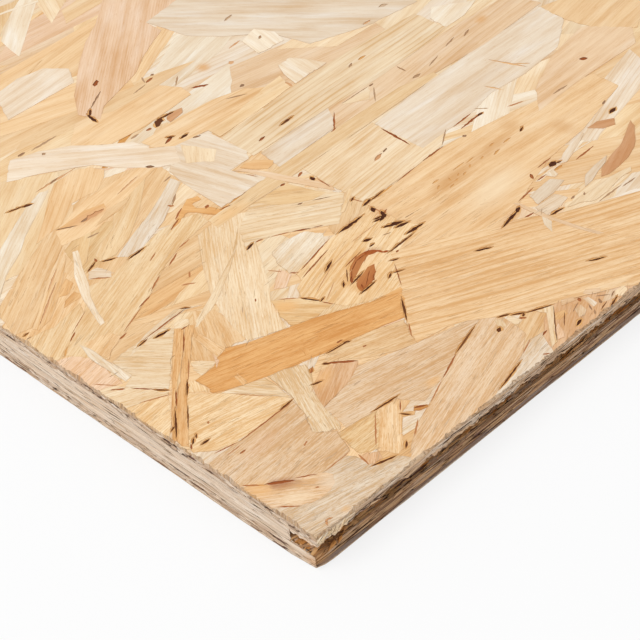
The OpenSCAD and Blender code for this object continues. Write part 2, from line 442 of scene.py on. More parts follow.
    ("honey", "plain", -50, [(124.5, 169), (128, 169.5), (132, 168), (136.5, 162), (135, 160), (131, 159.5),
        (128, 163)]),
    ("cream", "plain", 50, [(113, 188.5), (120, 200), (127, 185.5), (121, 180.5)]),
    ("white", "plain", 85, [(180, 193.5), (182, 203), (185, 209), (192, 209.5), (196, 202), (199, 194)]),
    ("white", "plain", 80, [(186, 222), (188, 235), (198, 238), (202, 229), (200, 221)]),
    ("white", "plain", 12, [(250.5, 172), (251, 182), (258, 188), (274, 176), (262, 172)]),
    ("chalk", "plain", 10, [(181, 60), (183, 66), (196, 67), (199, 62), (190, 60)]),
    ("chalk", "plain", -8, [(178, 53), (179, 59.5), (190, 59.5), (192, 54), (186, 52.5)]),
    ("white", "plain", 60, [(171.5, 44.5), (173, 50), (177, 54.5), (176.5, 49)]),
    ("rose", "plain", -80, [(175.5, 68), (177, 66), (178.5, 52), (180.5, 40), (183.5, 29), (181.5, 30),
        (178.5, 40), (176, 56)]),
    ("cream", "plain", 8, [(187, 50), (192, 48), (197, 44.5), (204, 44.5), (214, 46), (220, 45.5),
        (222, 47.5), (212, 49.5), (203, 49.5), (195, 50.5)]),
    ("chalk", "plain", 12, [(201, 53), (203, 55), (207, 58), (213, 59), (222, 59.5), (218, 57), (212, 55.5),
        (206, 53.5)]),
    ("grey", "plain", 20, [(206, 70.5), (212, 73.5), (220, 76), (227, 77.5), (228, 76), (222, 73.5),
        (214, 70.5), (209, 69)]),
    ("white", "plain", 60, [(197, 69.5), (199.5, 70.5), (201.5, 69.5), (200.5, 66.5), (198.5, 66)]),
    ("cream", "plain", 10, [(157.5, 2), (160, 4.5), (164, 4), (163.5, 1.5), (159.5, 0.5)]),
    ("brown", "plain", 22, [(210, 52.5), (214, 55.5), (222, 58), (232, 60), (240, 64), (246, 67),
        (244, 63.5), (238, 58), (233, 54.5), (226, 52), (218, 51), (213, 51)]),
    ("brown", "plain", -25, [(231, 77), (237, 77), (243, 73), (240, 70), (235, 72)]),
    ("tan", "plain", 8, [(62, 186), (78, 186.5), (84, 190), (72, 190.5)]),
    ("cream", "plain", -10, [(181, 167.5), (198, 167.5), (191, 160.5), (186, 164)]),
    ("brown", "plain", 40, [(6.6, 1.2), (6.9, 2.8), (8, 3.8), (9.6, 3.7), (10.4, 2.6), (9.5, 2.9), (8.4, 3),
        (7.5, 2.2)]),
    ("brown", "plain", 0, [(128, 215), (129, 219), (133, 220), (138, 219), (136, 216)]),
    ("rose", "plain", 35, [(140, 5), (142.5, 9), (146, 9), (145, 5.5), (142, 4)]),
    ("rose", "plain", -30, [(141, 14), (143, 16.5), (147.5, 14), (146.5, 12)]),
    ("rose", "plain", -40, [(151, 12.5), (153.5, 13.5), (157.5, 9.5), (156, 8), (152.5, 10)]),
    ("pink", "plain", 20, [(126, 3), (129, 7), (133, 9), (131.5, 5), (128.5, 2)]),
]
# Strands that show only in gaps between those above
NEAR_UNDER = [
    ("tan", "plain", 30, [(0, 128), (36, 133), (60, 150), (62, 166), (36, 174), (0, 168)]),
    ("straw", "plain", 34, [(8, 190), (36, 222), (56, 240), (76, 226), (60, 204), (28, 186)]),
    ("tan", "fine", 25, [(36, 158), (60, 160), (104, 180), (105, 200), (84, 208), (50, 200), (36, 186)]),
    ("buff", "plain", 20, [(40, 168), (56, 166), (74, 180), (60, 190), (44, 184)]),
    ("tan", "plain", 31, [(118, 108), (142, 108), (145, 124), (134, 127), (120, 116)]),
    ("straw", "fine", 18, [(74, 70), (100, 64), (108, 78), (86, 94), (74, 86)]),
]
# Cracks, pores and pitch streaks near the corner, by wood and strength. Their dark and brown colours are
# partly the wood's and the pitch's own and partly painted shade in the cracks and between strands.
# Each has a place, a length, a width and a way in degrees.
NEAR_SLITS = {
    ("brown", 0.5): [(97, 93, 18, 0.5, 24), (108, 96.5, 20, 0.5, 10), (126, 100.5, 16, 0.5, 2),
        (93, 86, 12, 0.5, 30)],
    ("brown", 0.7): [(30, 174, 14, 0.9, 36), (88, 196.4, 14, 0.9, 12), (178, 195.5, 5, 1.6, 85),
        (174, 227, 3, 2.6, 0), (232, 202, 5, 1.6, 0)],
    ("brown", 0.9): [(20, 164.5, 26, 0.9, 36), (164.5, 130, 6, 1.8, 14), (72, 222.4, 22, 1.2, 0),
        (66, 192.5, 12, 3, -3), (184.5, 236, 8, 1.4, 5)],
    ("dark", 0.5): [(150.8, 2.2, 6, 0.7, 15), (136, 8.5, 8, 0.6, 40), (105, 28.8, 16, 1, 17),
        (12, 76.6, 14, 0.7, 48), (103.5, 87.5, 8, 0.7, 48), (132, 9.5, 20, 0.6, 44), (3, 157, 3, 0.8, 0)],
    ("dark", 0.7): [(131, 85.2, 15, 1.1, 3), (146, 113, 9, 0.8, 4), (207, 71.6, 3, 1.2, -20),
        (41, 8.2, 10, 1.2, -17), (51.5, 7.8, 4, 1, 40), (39, 54.3, 7, 0.9, 4), (54, 54, 5, 1.1, -20),
        (62, 27.7, 12, 0.9, -6), (63.3, 58.7, 3, 1.3, -44), (101, 3.7, 16, 0.9, 14), (116.8, 23, 3, 2, 30),
        (103, 57.5, 13, 1, 52), (62.5, 18.5, 4, 0.8, -55), (7, 77.5, 15, 0.8, 50), (22, 88, 8, 0.9, 47),
        (4.4, 76.3, 3, 0.8, 20), (7.5, 67.3, 2.4, 0.8, 50), (15.5, 94.5, 6, 0.8, -52),
        (28, 119.3, 5, 0.9, 5), (72, 61.8, 10, 0.8, -8), (76.5, 61.2, 3, 0.9, -30), (114, 75.2, 4, 1, 28),
        (117.5, 74.3, 5, 0.8, -25), (105, 83.6, 9, 0.9, 12), (123.5, 26.8, 5, 1.1, -25),
        (127.6, 23.5, 6, 1, -35), (128.5, 21.6, 2, 1, 30), (134.5, 19.4, 11, 0.8, -26),
        (155, 1, 7, 0.8, 18), (122.7, 93, 2.6, 1, 5), (121.5, 80.3, 4, 0.9, -25),
        (214.5, 97.6, 3.6, 1.2, 22), (45, 168.2, 7, 0.9, 22), (51.5, 121.7, 4, 0.9, -40),
        (138.3, 119, 3, 1, 20), (159, 177.4, 8, 1.5, 3), (211.5, 117.6, 4, 1.4, 0),
        (49, 220.3, 8, 1.1, -16), (53.5, 218.5, 5, 2, -25), (111.5, 247.5, 5, 1.6, 48),
        (125, 219, 7, 4, 30), (130, 220.3, 9, 1.6, -8), (121, 207.3, 4, 1.6, -35)],
    ("dark", 0.9): [(5, 66.2, 3.4, 1, 40), (7.5, 62.6, 4.4, 1, -2), (36, 117.5, 7, 1.5, -6),
        (85, 88.5, 8, 1, -62), (87.8, 85.1, 3, 0.9, 12), (103, 97, 7, 1.3, 24), (99, 85, 3.8, 1, 44),
        (103.5, 76.6, 9, 1, 5), (138, 3.3, 4.4, 1.8, 15), (147.5, 58.2, 7, 1.2, -30),
        (169.8, 21.4, 7.5, 1.1, -30), (126.5, 108.4, 14.5, 1.9, 1), (138.8, 108, 3.6, 2.2, 60),
        (139.3, 103, 4.6, 2.4, 65), (137.6, 101.8, 5.5, 1.8, 20), (136.2, 103, 4, 1.1, -10),
        (182.5, 51.6, 7, 1.3, -8), (135.5, 102, 5, 1, -8), (137, 95.4, 9, 2.2, -24),
        (139, 92.6, 7, 1.8, -14), (123.7, 96.6, 4, 2, -20), (140.3, 87.2, 10, 1.8, -3),
        (140.5, 113.1, 5.5, 1.6, 10), (168, 62.6, 13, 1.4, 12), (174, 64, 4, 1.8, 25),
        (204.5, 72.6, 4.4, 3.2, 10), (247, 77, 5, 2, 10), (52, 166.2, 6, 1, -28), (61.5, 160.8, 9, 1.2, 3),
        (92.5, 129.2, 5, 1.4, 15), (138, 141, 3.2, 2, 75), (109.3, 243.5, 8, 1.8, 82),
        (125, 203.3, 5, 1.5, 0)],
    ("fawn", 0.7): [(63, 42.7, 4, 0.8, 0), (64.5, 104, 4, 0.6, 50), (246, 205.5, 5, 2.6, -20),
        (197, 253.5, 6, 1.8, 10)],
    ("honey", 0.7): [(229, 125.5, 9, 0.9, -70)],
    ("honey", 0.9): [(246, 133, 18, 1.2, -70), (249, 128.5, 9, 1, -48)],
    ("ochre", 0.7): [(171.5, 97.5, 2.4, 1, 70), (173, 95.2, 2, 0.9, 20), (167, 101, 4, 1, 0),
        (180, 100.6, 7, 0.8, 2), (176, 97, 2, 1, 30), (186, 99.8, 6, 0.8, 5), (196.5, 95, 5, 1.2, 10),
        (205, 97, 5, 1, 0), (178, 95.5, 3, 1, 15), (183, 97.2, 2.4, 1, 40), (169, 94, 3, 1, 10),
        (190, 97, 2.4, 1, 20), (165, 97.5, 3, 1.1, 30), (199, 100, 3, 1, 5), (6.5, 137.7, 6, 1, 40),
        (211, 184.6, 5, 1.6, 0)],
    ("ochre", 0.9): [(4, 33.6, 9, 1, -48), (57.5, 60.4, 4, 2.2, 30), (150, 112.6, 12, 1.1, 3),
        (204, 69.2, 5, 2, 0)],
    ("rust", 0.5): [(36.8, 14, 7, 0.9, 78), (3, 34.8, 6, 0.8, -50), (11, 51.8, 7, 0.6, 0),
        (29.5, 35, 3, 0.9, 20), (17, 16.7, 1.6, 0.9, -40), (50, 21, 18, 0.7, 45), (30, 20.2, 13, 0.5, 1),
        (60, 11, 9, 0.9, 35), (78, 18.2, 12, 0.8, 24), (116, 9.2, 9, 0.7, 22), (96, 47.8, 8, 0.7, 52),
        (29, 95, 12, 0.6, 47), (14.8, 69, 1.6, 0.9, 60), (4, 112.5, 10, 0.6, -56), (11, 92.8, 13, 0.7, -27),
        (34, 68, 16, 0.5, -56), (80, 95.3, 8, 0.7, -45), (88, 111, 6, 0.7, -60),
        (139.4, 105.5, 12, 0.6, 90), (42.5, 160.3, 8, 0.9, -45), (20, 146.6, 14, 0.5, 27),
        (34, 132, 14, 0.5, 22), (54, 141.3, 10, 0.9, 28), (77.5, 150.6, 7, 0.8, 8), (64, 154, 6, 0.8, 25),
        (105, 125.2, 8, 0.7, -30), (90, 172.5, 3, 1.4, -50), (66, 135, 4, 1, 50), (62, 131, 6, 1.2, -35),
        (124, 161.5, 6, 0.6, -70), (226, 111, 8, 1, -20)],
    ("rust", 0.7): [(40, 120.7, 24, 0.8, 3), (48.5, 170, 2.8, 1.2, 70), (4.3, 17.8, 9, 0.8, -46),
        (18.5, 23.4, 8, 0.8, -35), (10, 54.8, 10, 0.7, -14), (28, 53.6, 26, 0.8, 1),
        (12.5, 48.8, 3, 1.4, 0), (79, 54.5, 1.8, 1.1, 0), (91, 23.6, 14, 0.9, 22), (64.5, 23, 6, 0.7, 44),
        (38, 107.5, 12, 0.7, 47), (6, 106.5, 4, 1.2, -45), (4.5, 108, 3, 0.8, -40),
        (57.3, 60.2, 3.4, 1, 35), (43.5, 113.4, 3, 0.7, 0), (87.5, 82, 5, 0.7, -65),
        (101, 102, 20, 0.8, 14), (105, 106, 22, 0.9, 14), (92, 104.3, 4, 0.8, -50), (71.5, 104.2, 2, 1, 45),
        (75, 63.4, 3, 1.2, -10), (116, 73, 14, 0.6, 55), (109, 78.8, 4, 0.8, 45), (112, 92.6, 12, 0.7, 10),
        (127, 20.6, 3, 1.6, -40), (147.7, 11.2, 2.4, 1.8, 60), (117.5, 1.2, 3, 1, -40),
        (140.5, 103.4, 4, 1, 15), (126, 82.7, 2, 1, 10), (163, 113.3, 13, 0.7, 5), (193, 73.5, 4, 2, 60),
        (195, 70, 6, 1, 0), (183, 67.8, 12, 0.8, 8), (203, 75.6, 9, 0.8, 3), (218, 67.4, 12, 1.1, 2),
        (13.5, 142.2, 6, 0.9, 30), (26, 127.8, 5, 0.9, 10), (44, 136.3, 8, 0.9, 14),
        (68, 146.8, 9, 0.9, 25), (83, 162.3, 8, 1, 22), (88.5, 166.3, 8, 1, 28), (98.7, 160.8, 3, 2, 30),
        (103, 154.6, 6, 0.9, -12), (97, 129, 4, 0.8, -15), (117.5, 117.3, 5, 0.8, -32),
        (136.8, 146.8, 4, 1.6, 20), (138.8, 135.5, 9, 0.7, 85), (138.9, 117, 6, 0.6, -75),
        (171, 161.5, 13, 1, 45), (166.5, 157.3, 4, 0.9, 8), (180, 114.3, 13, 1.2, 1),
        (204, 120.5, 12, 0.9, 3), (143, 245.3, 5, 2, 10), (119, 218.5, 3, 2, 0)],
    ("rust", 0.9): [(16, 87.3, 9, 0.8, 49), (11.5, 100.3, 9, 0.8, -54), (105, 86.5, 5, 0.6, 45),
        (109.5, 89.6, 6, 0.6, 28), (114, 91, 5, 0.6, 5), (106, 79.5, 5, 0.5, 35), (109, 81.6, 5, 0.5, 35),
        (102.5, 78.5, 3, 0.8, 60), (102.8, 84.6, 4, 1.6, 45), (10.5, 28.3, 11, 1.6, -38),
        (67.5, 55, 12.5, 1.5, -44), (68.5, 17.2, 5, 1.2, -30), (2.6, 64.6, 3, 0.9, 55),
        (125.7, 9, 3.6, 1.1, 12), (174, 58.3, 5, 1.2, -10), (112, 120.8, 8, 1, -36),
        (127.5, 147.2, 3, 1.3, 0), (143.8, 176.3, 4.4, 1.5, 6), (268, 110, 4, 2.4, -40),
        (179, 134.5, 18, 1.4, 87), (206, 117.4, 14, 1.3, 4), (127, 262, 5, 3, 40),
        (153.5, 224.6, 8, 2.2, -32), (119, 206, 6, 2, 15)],
    ("umber", 0.5): [(146, 2.5, 3, 1, 45), (131, 93.2, 4, 0.7, -20), (145, 94.3, 5, 0.7, -6),
        (245, 103, 9, 1.1, -4), (204, 43, 14, 0.9, 0), (191, 118.5, 11, 0.7, 35), (215, 119.8, 6, 1, -48),
        (190, 167.6, 17, 0.7, 0), (195, 161.5, 11, 0.8, 48), (215.5, 156.8, 5, 1.8, 0),
        (215.5, 165.5, 6, 1, 88), (228, 158.7, 9, 0.9, 16), (243, 163, 8, 1.1, 14),
        (252.5, 162, 6, 1.2, 20), (204, 184.5, 4, 1.6, 25), (85, 246, 14, 1.4, -1), (80, 240, 2, 2, 0),
        (58, 182.6, 6, 1, -10), (93.5, 174.5, 8, 1.1, 36), (101, 186.8, 5, 0.9, 10),
        (141.5, 247.5, 5, 1, 65), (136, 243.6, 9, 0.8, 8), (150, 235.5, 8, 1, 42), (112, 219.3, 5, 1.4, 0),
        (158, 206.5, 10, 0.9, -28), (195, 231, 3, 1.6, 30)],
    ("umber", 0.7): [(143.5, 9.6, 6, 0.6, 20), (147, 5.5, 4, 0.7, 60), (155, 6.2, 6, 0.6, -40),
        (152, 5, 3, 1.6, 60), (158, 4, 4, 0.8, 20), (249, 83.2, 3.4, 1.3, 20), (214, 41.8, 8, 0.9, -2),
        (193, 52.5, 3, 1.2, 10), (197.5, 50.5, 2.4, 1, 40), (2.5, 154.5, 2.6, 0.8, 5),
        (123.2, 133, 2.6, 1.2, -10), (131, 128.6, 8, 0.7, -32), (196.5, 112.3, 2, 2, 0),
        (199, 167.4, 3, 1.6, 0), (71, 222.6, 5, 1.2, 10), (74, 247.3, 4, 2, 0), (54.5, 194.5, 9, 1.2, -32),
        (62, 193, 4, 1.4, 5), (119, 252.5, 13, 1.1, 30), (146.5, 247.5, 2, 2, 0),
        (128, 198.6, 4, 1.6, -20)],
    ("umber", 0.9): [(169.5, 131.1, 3.4, 1.1, 15), (102, 198.5, 4, 1.8, -50), (165, 210.7, 2.6, 2, 0)],
}
# Soft stains: place, length, width, way in degrees, wood and strength. On the upper face near the corner
NEAR_STAINS = [
    (10.2, 27.4, 13, 5.5, -38, "rust", 0.55), (4, 31, 11, 8, -45, "orange", 0.5),
    (22, 15.5, 8, 7, -20, "chalk", 0.5), (101.8, 85.6, 9, 3, 54, "ochre", 0.6),
    (107.8, 91.2, 9, 2.8, 36, "ochre", 0.6), (115.5, 93.4, 9, 2.6, 0, "ochre", 0.6),
    (100, 78.5, 5, 2.6, 78, "ochre", 0.5), (9, 19, 12, 6, -40, "cream", 0.4),
    (16, 2, 4, 3, 0, "orange", 0.45), (57, 54, 14, 6, 25, "orange", 0.5), (20, 47, 20, 8, 5, "brown", 0.3),
    (76, 93, 10, 7, -45, "orange", 0.7), (173, 97, 26, 8, 3, "amber", 0.5),
    (196, 98.5, 26, 6, 4, "amber", 0.36), (81, 22.5, 7, 3.5, 0, "orange", 0.6),
    (164, 234, 6, 6, 40, "ochre", 0.7), (120, 90.5, 7, 4, -30, "rust", 0.4),
    (139, 104, 6, 9, 0, "brown", 0.5), (264, 164, 7, 4, 10, "ochre", 0.6),
    (204.5, 72.6, 10, 8, 0, "amber", 0.35), (168, 62.6, 18, 5, 12, "brown", 0.35),
    (126.5, 108.4, 18, 5, 0, "amber", 0.3), (108, 86, 26, 18, 25, "orange", 0.25),
    (178, 80, 34, 14, 12, "cream", 0.5), (226, 85, 8, 12, 0, "amber", 0.35),
    (213, 103, 8, 8, 0, "amber", 0.3), (146, 11, 10, 7, -45, "amber", 0.35),
    (134, 6, 10, 6, 30, "amber", 0.3), (101, 150.5, 18, 6, 0, "orange", 0.5),
    (64, 193, 18, 6, -8, "brown", 0.5),
]
# On the near end: distance from the groove's edge, and height
NEAR_END_STAINS = [(2.5, 4, 9, 7, 0, "amber", 0.5)]
# On the groove's edge: distance from the near end, and way up the unrolled profile
GROOVE_STAINS = [(2.5, 4, 9, 8, 0, "amber", 0.4), (7, 13, 20, 14, 0, "amber", 0.4)]


def near_corner(points):
    return [(x + END_X, y + GROOVE_Y) for x, y in points]


def slit(rng, x, y, length, width, angle, tone, strength):
    """A crack, pore or pitch streak: a thin sunk strand, pointed at both ends."""
    steps = max(4, min(14, round(length / 1.2)))
    lower, upper = [], []
    for k in range(steps):
        swell = width / 2 * math.sin(math.pi * k / steps) ** 0.7
        lower.append((length * (k / steps - 0.5), -swell * rng.uniform(0.5, 1.15)))
        upper.append((length * (0.5 - k / steps), swell * rng.uniform(0.5, 1.15)))
    # Darkened towards the slit's wood: the pitch's own colour, and painted shade where it is a crack or pore
    tone = tuple(a ** (1 - strength) * b ** strength for a, b in zip(TONES["tan"], TONES[tone]))
    spacing, figure = FIGURES["plain"]
    sunk = 0.12 + 0.3 * strength * min(1, width / 2)
    return Strand(turned(lower + upper, angle, (x, y)), angle, tone, sunk, spacing, figure,
                  rng.uniform(0, 100), stained=False)


def corner_strands(entries, seed, lowest, highest):
    """The listed strands, each a little higher than the one before."""
    made = []
    for k, (tone, figure, grain, points) in enumerate(entries):
        outline = near_corner(points)
        depth = lowest + (highest - lowest) * k / len(entries)
        rng = random.Random(seed + k)
        rim = rim_at(*np.mean(outline, 0))
        made.append(wood(rng, outline, grain, tone, figure, depth, rim, step=3, fray=0.22))
    return made


def corner_slits(rng):
    """The listed cracks, the darkest on top, with a brown fringe under the dark ones."""
    lightest_first = sorted(NEAR_SLITS.items(), key=lambda group: -TONES[group[0][0]][0])
    fringes, made = [], []
    for (tone, strength), places in lightest_first:
        for x, y, length, width, angle in places:
            spot = (x + END_X, y + GROOVE_Y)
            made.append(slit(rng, *spot, length, width, angle, tone, strength))
            if tone == "dark" and width > 0.7:
                fringes.append(slit(rng, *spot, 1.15 * length + 0.6, width + 1.0, angle, "ochre", 0.6))
    return fringes + made


def contains(outline, x, y):
    """Whether a point lies inside an outline."""
    inside = False
    for (ax, ay), (bx, by) in zip(outline, outline[1:] + outline[:1]):
        if (ay > y) != (by > y) and x < ax + (bx - ax) * (y - ay) / (by - ay):
            inside = not inside
    return inside


def loose_fibres(rng, strands):
    """Fine fibres and scratches round the near corner, along the grain of the strand that each lies on."""
    boxes = [(s, np.min(s.outline, 0), np.max(s.outline, 0)) for s in strands]
    near = [(s, low, high) for s, low, high in boxes
            if low[0] < END_X + FIBRE_REACH and low[1] < GROOVE_Y + FIBRE_REACH]
    made = []
    for _ in range(FIBRE_COUNT):
        away, turn = FIBRE_REACH * rng.random() ** 0.7, rng.uniform(0, math.pi / 2)
        x, y = END_X + away * math.cos(turn), GROOVE_Y + away * math.sin(turn)
        under = next((s for s, low, high in reversed(near) if low[0] < x < high[0] and low[1] < y < high[1]
                      and contains(s.outline, x, y)), None)
        if under is None:
            continue
        length, width = rng.uniform(2, 7), rng.uniform(0.2, 0.45)
        shade = rng.choice([0.72, 0.82, 0.88, 1.06])
        angle = under.grain + rng.gauss(0, 5)
        thin = [(-length / 2, 0), (rng.uniform(-0.3, 0.3) * length, -width / 2), (length / 2, 0),
                (rng.uniform(-0.3, 0.3) * length, width / 2)]
        depth = under.depth + 0.05 if shade < 1 else max(0.0, under.depth - 0.02)
        tone = tuple(c * shade ** weight for c, weight in zip(under.tone, (0.8, 1.0, 1.3)))
        made.append(Strand(turned(thin, angle, (x, y)), angle, tone, depth, under.spacing, figure=0.1,
                           seed=rng.uniform(0, 100)))
    return made


def inset(points, distance):
    """Closed line just inside an outline, which bounds its soft rim."""
    outline = np.array(points)
    ahead = np.roll(outline, -1, 0) - outline
    ahead /= np.linalg.norm(ahead, axis=1, keepdims=True) + 1e-9
    inward = np.stack([-ahead[:, 1], ahead[:, 0]], 1)
    middle = inward + np.roll(inward, 1, 0)
    middle /= np.linalg.norm(middle, axis=1, keepdims=True) + 1e-9
    return (outline + middle * distance).tolist()


def straightened(points, lines, fixed):
    """Neighbours of each point of some lines, without the points inside a straight run.

    fixed: points that stay.
    """
    near = {}
    for a, b in lines:
        near.setdefault(a, set()).add(b)
        near.setdefault(b, set()).add(a)
    for point in list(near):
        if point in fixed or len(near[point]) != 2:
            continue
        a, b = near[point]
        before, after = points[point] - points[a], points[b] - points[point]
        bent = before.cross(after) ** 2 > 1e-6 * before.length_squared * after.length_squared
        if b in near[a] or before.dot(after) <= 0 or bent:
            continue
        del near[point]
        for end, other in ((a, b), (b, a)):
            near[end].remove(point)
            near[end].add(other)
    return near


def stain_grid(stains):
    """Points that are close enough to show each stain's soft border."""
    points = []
    for x, y, length, width, angle, _, _ in stains:
        pitch = max(0.7, min(length, width) / 6)
        along, across = math.ceil(0.7 * length / pitch), math.ceil(0.7 * width / pitch)
        grid = [(i * pitch, j * pitch) for i in range(-along, along + 1) for j in range(-across, across + 1)]
        points.extend(turned(grid, angle, (x, y)))
    return points


def cut_apart(outline, strands, creases, stains):
    """Cuts all outlines against each other.

    Gives points, triangles and the strand on top of each triangle, where -1 is none. A first cut finds
    which strand is on top where. A second one is made from the lines that show, so that no triangles go
    to what lies hidden.
    """
    points, edges, rim_of = [], [], []

    def added(line):
        points.extend(Vector(p) for p in line)
        return list(range(len(points) - len(line), len(points)))

    faces = [added(ring) for ring in [outline] + [s.outline for s in strands]]
    first_crease = len(points)
    for line in creases:
        run = added(line)
        edges.extend(zip(run, run[1:]))
        rim_of.extend([None] * (len(run) - 1))
    last_crease = len(points)
    for k, strand in enumerate(strands):
        if strand.rim > 0:
            ring = added(inset(strand.outline, RIM_WIDTH))
            edges.extend(zip(ring, ring[1:] + ring[:1]))
            rim_of.extend([k] * len(ring))
    first_cut = delaunay_2d_cdt(points, edges, faces, 1, CUT_MERGE)
    corners, sides, cells, from_points, from_edges, covers = first_cut
    inside = [k for k, cover in enumerate(covers) if 0 in cover]
    cells = [cells[k] for k in inside]
    tops = [max(covers[k]) - 1 for k in inside]

    beside = {}
    for cell, top in zip(cells, tops):
        for a, b in zip(cell, cell[1:] + cell[:1]):
            beside.setdefault((min(a, b), max(a, b)), []).append(top)
    lines = {side for side, found in beside.items() if len(found) == 1 or found[0] != found[1]}
    for (a, b), sources in zip(sides, from_edges):
        side = (min(a, b), max(a, b))
        found = beside.get(side, [])
        if found and any(s < len(edges) and (rim_of[s] is None or rim_of[s] in found) for s in sources):
            lines.add(side)
    fixed = {k for k, sources in enumerate(from_points)
             if any(first_crease <= s < last_crease for s in sources)}
    near = straightened(corners, sorted(lines), fixed)
    order = {point: k for k, point in enumerate(near)}
    shown = [(order[a], order[b]) for a in near for b in sorted(near[a]) if a < b]
    kept = [corners[p] for p in near] + [Vector(p) for p in stain_grid(stains)]
    cut = delaunay_2d_cdt(kept, shown, [], 1, CUT_MERGE)

    flat, triangles = np.array([tuple(p) for p in cut[0]]), np.array(cut[2])
    finder = BVHTree.FromPolygons([(x, y, 0) for x, y in corners], cells)
    top = np.array([tops[finder.find_nearest((x, y, 0))[2]] for x, y in flat[triangles].mean(1)])
    return flat, triangles, top


def stain_colours(places, stains):
    """Colour and strength of the stains at each point, with the colour already weakened by the strength."""
    colours = np.zeros((len(places), 4))
    for x, y, length, width, angle, tone, strength in stains:
        u, v = along_and_across(places - (x, y), math.radians(angle))
        cover = strength * np.clip((1.3 - np.hypot(u / (length / 2), v / (width / 2))) / 0.9, 0, 1)
        stronger = cover > colours[:, 3]
        colours[stronger] = np.column_stack([cover[stronger, None] * np.array(TONES[tone]), cover[stronger]])
    return colours


# What shows where no strand lies: a deep hole, its dark tone painted shade
VOID = Strand([], grain=0, tone=TONES["void"], depth=0.85, spacing=3, figure=0.2, seed=0)


def worn(places):
    """Places with the lower near corner worn away a little."""
    off = np.hypot((places[:, 0] - END_X) / WEAR_REACH[0], (places[:, 1] - LOWER_LIP_Y) / WEAR_REACH[1])
    lift = WEAR * np.clip(1 - off, 0, 1) ** 2 * np.clip(1 - places[:, 2] / 5, 0, 1)
    return places + np.column_stack([np.zeros((len(places), 2)), lift])


def new_piece(name, places, quads, triangles, wood_data, uv):
    """Mesh object from arrays, with what its wood needs at each point. No face of a strand is smooth."""
    mesh = bpy.data.meshes.new(name)
    loops = np.concatenate([triangles.ravel(), quads.ravel()]).astype(np.int32)
    totals = np.concatenate([np.full(len(triangles), 3), np.full(len(quads), 4)]).astype(np.int32)
    mesh.vertices.add(len(places))
    mesh.vertices.foreach_set("co", (worn(places) * MM).astype(np.float32).ravel())
    mesh.loops.add(len(loops))
    mesh.loops.foreach_set("vertex_index", loops)
    mesh.polygons.add(len(totals))
    mesh.polygons.foreach_set("loop_start", np.concatenate([[0], np.cumsum(totals)[:-1]]).astype(np.int32))
    mesh.polygons.foreach_set("loop_total", totals)
    mesh.update(calc_edges=True)
    is_wall = np.arange(len(totals)) >= len(triangles)
    sharp = mesh.attributes.new("sharp_face", "BOOLEAN", "FACE")
    sharp.data.foreach_set("value", np.ones(len(totals), bool))
    for label, kind, field, values in wood_data:
        mesh.attributes.new(label, kind, "POINT").data.foreach_set(field, values.astype(np.float32).ravel())
    # Walls and skirts are marked, for the painted shade that the material puts on them
    walls = mesh.attributes.new("wall", "FLOAT", "FACE")
    walls.data.foreach_set("value", is_wall.astype(np.float32))
    mesh.uv_layers.new(name="OFBake").data.foreach_set("uv", uv[loops].astype(np.float32).ravel())
    mesh.validate()
    mesh.materials.append(OSB)
    piece = bpy.data.objects.new(name, mesh)
    bpy.context.scene.collection.objects.link(piece)
    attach(piece, "root")
    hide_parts("osb_panel")


